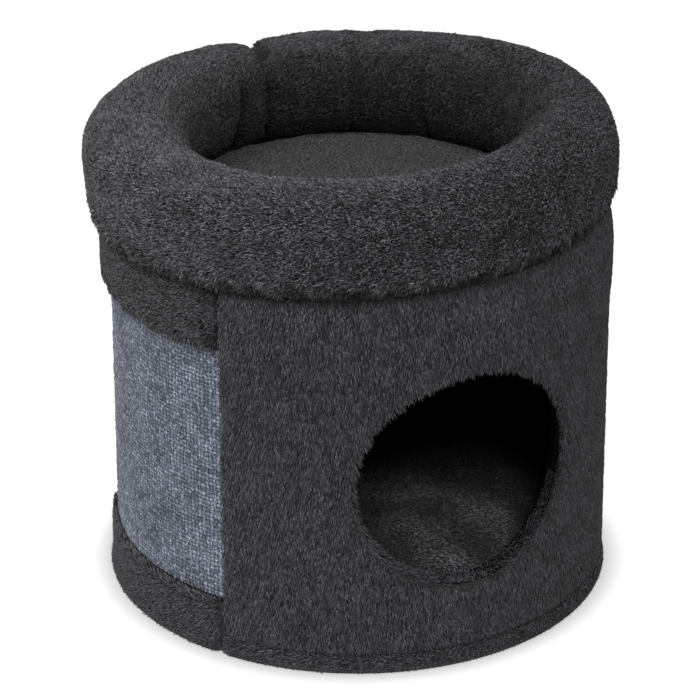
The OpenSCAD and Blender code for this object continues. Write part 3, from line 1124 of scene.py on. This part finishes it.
def bolster_creases(angles, radius):
    """How deep join, lap and folds draw in each point."""
    place = np.arange(radius.shape[1])
    shown = on_show(place)
    down_inside = np.clip((place - CROWN_AT) / (EXPOSED - CROWN_AT), 0, 1)
    on_inside = (place >= CROWN_AT) & (place < EXPOSED)

    def crease(side, depth, half):
        away = turn_between(angles[:, None], side[None, :])
        return shown * depth * np.exp(-np.abs(away * radius / half) ** 1.6)

    join = JOIN_SIDE + JOIN_SLANT * down_inside + JOIN_BOW * np.sin(math.pi * down_inside)
    at_crown = 1 - ease(0.1, 0.4, down_inside)
    notch = crease(join, JOIN_DEPTH + JOIN_DEPTH * at_crown, JOIN_HALF + JOIN_HALF * at_crown)
    lap = JOIN_SIDE + LAP_TURN * ease(0.05, 0.5, down_inside)
    lap_depth = JOIN_DEPTH + JOIN_DEPTH * ease(0.35, 0.8, down_inside)
    creases = np.maximum(notch, crease(lap, np.where(on_inside, lap_depth, 0), 3.8 * MM))
    creases += crease(join, 1.5 * MM, 15 * MM)
    for fold in FOLD_SIDES:
        depth = FOLD_DEPTH * ease(0.0, 0.3, down_inside)
        creases += crease(np.full(len(place), fold), depth, 4 * MM)
    return creases


def bolster_gloom(points, creases):
    """Painted shade near wall, bed and folds and on the inner wall, lighter towards the crown
    inside, and painted side light by turn to the camera.
    """
    height, radius, angle = points[:, 2], radius_of(points), angle_of(points)
    turn = seen(angle)
    above_wall = height - crease_z(angle) + 8 * MM * noise_at(points, 7, 23)
    near_wall = 0.03 + 0.97 * ease(1 * MM, 8 * MM, above_wall)
    above_bed = height - BED_Z + 5 * MM * noise_at(points, 14, 24)
    near_bed = 0.25 + 0.6 * ease(4 * MM, 24 * MM, above_bed)
    near_bed += 0.15 * ease(OUTER_WAIST, OUTER_WAIST + 20 * MM, height)
    # Painted light by side: lighter towards the camera's left, darker to its right and on the inner
    # wall
    painted_side_light = 0.82 + 0.25 * np.cos(turn + 60 * DEGREE)
    inside = ease(RING_R - 10 * MM, RING_R - 26 * MM, radius)
    to_right, to_left = (np.maximum(0, np.cos(turn - a * DEGREE)) for a in (80, -110))
    painted_side_light *= 1 - inside * (0.2 + 0.35 * to_right + 0.25 * to_left)
    in_fold = np.clip(creases / (8 * MM), 0, 1)
    return painted_side_light * np.where(radius < RING_R, near_bed, near_wall) * (1 - 0.9 * in_fold)


def off_seat(points, normals):
    radius, height = radius_of(points), points[:, 2]
    outside = (radius > TUBE_R + 2 * MM) & (height > TUBE_TOP - 14 * MM)
    in_bed = (radius < BED_R + 14 * MM) & (height > BED_Z - 3 * MM)
    return outside | in_bed | (height > TUBE_TOP + 2 * MM)


def over_wall(points):
    """1 where the pile hangs over the wall."""
    height = points[:, 2] - crease_z(angle_of(points))
    outside = radius_of(points) > RING_R
    return np.where(outside, 1 - ease(3 * MM, 20 * MM, height), 0)


def bolster_lay(points, normals):
    """Round the ring, up inside and down outside."""
    round_ring = around(points, normals)
    inner_from, inner_to = RING_R - 32 * MM, RING_R - 14 * MM
    inner = 1 - ease(inner_from, inner_to, radius_of(points))
    from_bed = ease(2 * MM, 13 * MM, points[:, 2] - BED_Z)
    over = np.cross(-round_ring, normals) * (0.1 + inner * (3 * from_bed - 1.5))[:, None]
    return round_ring + over + DOWN * 1.2 * over_wall(points)[:, None]


def bolster_trim(points):
    """Longer where it hangs, short in the join's notch."""
    to_join = np.abs(turn_between(angle_of(points), JOIN_SIDE)) * RING_R
    in_notch = (1 - ease(2 * MM, 9 * MM, to_join)) * (points[:, 2] > OUTER_WAIST)
    return 1 + (0.6 + 1.1 * noise_at(points, 5, 26)) * over_wall(points) - 0.7 * in_notch


def make_bolster():
    angles = crowded_angles(SECTIONS, JOIN_SIDE + LAP_TURN / 2, 2.2, 0.28)
    piece = sweep("bolster", angles, section_loop, whole_turn=True)
    points = points_of(piece).reshape(SECTIONS, -1, 3)
    creases = bolster_creases(angles, radius_of(points))
    inward = round_points(angles, RING_R, OUTER_WAIST - 4 * MM)[:, None, :] - points
    inward /= np.linalg.norm(inward, axis=2, keepdims=True)
    points += inward * creases[..., None]
    set_points(piece, points.reshape(-1, 3))
    place = np.arange(points.shape[1])
    held = ((place < 2) | (place > EXPOSED - 2) | (creases > HELD_DEPTH)).ravel()
    push_out(piece, SWELL * ~held)
    inflate(piece, held, 5.0, 1.5 * MM, stiffness=1.0)
    points = points_of(piece)
    lumps = 1.0 * MM * noise_at(points, 34, 5) + 0.8 * MM * noise_at(points, 12, 6)
    push_out(piece, lumps * np.tile(on_show(place), SECTIONS))
    set_gloom(piece, bolster_gloom(points_of(piece), creases.ravel()))
    plush(piece, "condo", "long_plush", LONG_PILE, LONG_STYLE, bolster_lay, off_seat, 71,
          bolster_trim)
    dress(piece, "condo", "long_plush", LONG_CLOTH, "bolster_cover", "bolster_filling")


# Bed floor and loose cave cushion

def facing_up(points, normals):
    return normals[:, 2] > 0.2


def make_bed_floor():
    piece = copy_of_node("bed_pad", "bed_floor")
    shape = points_of(piece)
    side_top = DECK_Z + 4 * MM
    top = shape[:, 2] > side_top
    shape[:, :2] *= (BED_R + 5.5 * MM) / BED_R
    shape[top, 2] = BED_Z - 2.2 * MM
    shape[~top, 2] = DECK_Z + 0.3 * MM
    set_points(piece, shape)
    remesh(piece, 4 * MM)
    inflate(piece, points_of(piece)[:, 2] < side_top, 2.0, 1.6 * MM)
    shape = points_of(piece)
    on_top = shape[:, 2] > BED_Z - 5 * MM
    shape[on_top, 2] += 0.7 * MM * noise_at(shape[on_top], 40, 8)
    set_points(piece, shape)
    subdivide(piece)
    plush(piece, "condo", "wall_plush", BED_PILE, BED_STYLE, BED_LAY, facing_up, 81)
    dress(piece, "condo", "wall_plush", LONG_CLOTH, "bed_floor_cover", "bed_pad")


CUSHION_LOW = CUSHION[0].z


def off_cave_floor(points, normals):
    return points[:, 2] > CUSHION_LOW + 7 * MM


def cushion_gloom(points):
    """Painted light: a lit patch in from the entrance, painted shadow behind the wall on the right
    and further in, darker on the left, in patches.
    """
    turn, away = seen(angle_of(points)), radius_of(points)
    to_right, to_camera = away * np.sin(turn), away * np.cos(turn)
    behind_wall = 20 * np.maximum(0, to_right - 62 * MM) ** 2
    lit = ease(-30 * MM, 16 * MM, to_camera - behind_wall)
    lit *= 0.5 + 0.5 * ease(10 * MM, 65 * MM, to_right)
    patches = np.clip(0.8 + 1.2 * noise_at(points, 34, 14), 0.3, 1.4)
    return patches * (0.22 + 0.88 * lit)


def make_cave_cushion():
    piece = copy_of_node("cave_cushion_filling", "loose_cushion")
    remesh(piece, 5 * MM)
    shape = points_of(piece)
    floor = shape[:, 2] < CUSHION_LOW + 5 * MM
    shape[floor, 2] = CUSHION_LOW + 0.6 * MM
    set_points(piece, shape)
    inflate(piece, floor, 40.0, 5 * MM)
    shape = points_of(piece)
    upper = ease(CUSHION_LOW + 6 * MM, CUSHION_LOW + 14 * MM, shape[:, 2])
    lumps = 2.5 * MM * noise_at(shape, 70, 12) + 1.2 * MM * noise_at(shape, 26, 13)
    shape[:, 2] += upper * lumps
    set_points(piece, shape)
    subdivide(piece)
    set_gloom(piece, cushion_gloom(points_of(piece)))
    plush(piece, "cave_cushion", "wall_plush", CUSHION_PILE, CUSHION_STYLE, CUSHION_LAY,
          off_cave_floor, 91, floor=CUSHION_LOW)
    dress(piece, "cave_cushion", "wall_plush", WALL_CLOTH,
          "cave_cushion_cover", "cave_cushion_filling")


# Floor, light and camera

FLOOR_HALF = 6
FLOOR_Z = -0.4 * MM
WORLD_STRENGTH = 0.65
TO_CAMERA = Quaternion((0, 0, 1), CAMERA_TURN)


def floor_material():
    """White paper that glows, with a painted soft shadow near the drum where it glows less."""
    material, tree, shader = new_material("floor_paper", 0.9, 0.1)
    away = add_node(tree, "VectorMath", operation="LENGTH", Vector=own_place(tree))
    glow = add_node(tree, "MapRange", interpolation_type="SMOOTHSTEP",
                    Value=away.outputs["Value"], From_Min=0.168, From_Max=0.198,
                    To_Min=0.44, To_Max=0.95)
    tree.links.new(glow.outputs["Result"], shader.inputs["Emission Strength"])
    shader.inputs["Emission Color"].default_value = (1, 1, 1, 1)
    paper = grain(tree, Scale=40.0, Detail=3.0)
    shade = ramp_colour(tree, paper, [(0.0, grey(0.08)), (1.0, grey(0.09))])
    tree.links.new(shade, shader.inputs["Base Color"])
    return material


def add_sun(name, energy, spread, side, height):
    """A soft light, by its turn to the camera's right and its height."""
    light = bpy.data.lights.new(name, "SUN")
    light.energy = energy
    light.angle = spread * DEGREE
    lamp = add_object(name, light)
    side, height = side * DEGREE, height * DEGREE
    towards = TO_CAMERA @ Vector((
        math.sin(side) * math.cos(height), -math.cos(side) * math.cos(height), math.sin(height),
    ))
    lamp.rotation_mode = "QUATERNION"
    lamp.rotation_quaternion = towards.to_track_quat("Z", "Y")


def make_stage():
    far = FLOOR_HALF
    corners = [(x, y, FLOOR_Z) for x, y in ((-far, -far), (far, -far), (far, far), (-far, far))]
    floor = mesh_piece("floor", corners, np.array([[0, 1, 2, 3]]))
    floor.data.materials.append(floor_material())
    world = bpy.data.worlds.new("studio")
    bpy.context.scene.world = world
    world.use_nodes = True
    background = world.node_tree.nodes["Background"]
    background.inputs["Color"].default_value = (1, 1, 1, 1)
    background.inputs["Strength"].default_value = WORLD_STRENGTH
    add_sun("key", 3.0, 40, -50, 52)
    add_sun("front", 2.0, 14, 7, 43)
    bpy.context.scene.view_settings.view_transform = "Standard"


def make_camera():
    data = bpy.data.cameras.new("camera")
    data.lens = CAMERA_LENS_MM
    data.sensor_width = CAMERA_SENSOR_MM
    camera = add_object("camera", data)
    camera.location = TO_CAMERA @ Vector((0, -CAMERA_AWAY, CAMERA_UP))
    forward = TO_CAMERA @ Vector((
        math.sin(CAMERA_YAW) * math.cos(CAMERA_PITCH),
        math.cos(CAMERA_YAW) * math.cos(CAMERA_PITCH),
        -math.sin(CAMERA_PITCH),
    ))
    camera.rotation_mode = "QUATERNION"
    camera.rotation_quaternion = forward.to_track_quat("-Z", "Y")
    bpy.context.scene.camera = camera


make_stage()
make_camera()
paint_nodes()
make_bolster()
make_bed_floor()
make_cave_cushion()
make_wall_cover()
make_cave_wall()
make_disc("cave_ceiling_cloth", CEILING, 0.0, 0.4 * MM, 5,
          "lining", LINING_AND_SHADE_CLOTH, "ceiling_lining")
make_scratch_mat()
make_upper_strip()
make_lower_strip()
make_base_band()
make_disc("felt_underlay", UNDERLAY, 0.2 * MM, 0.15 * MM, 9,
          "felt", FELT, "base_underlay")
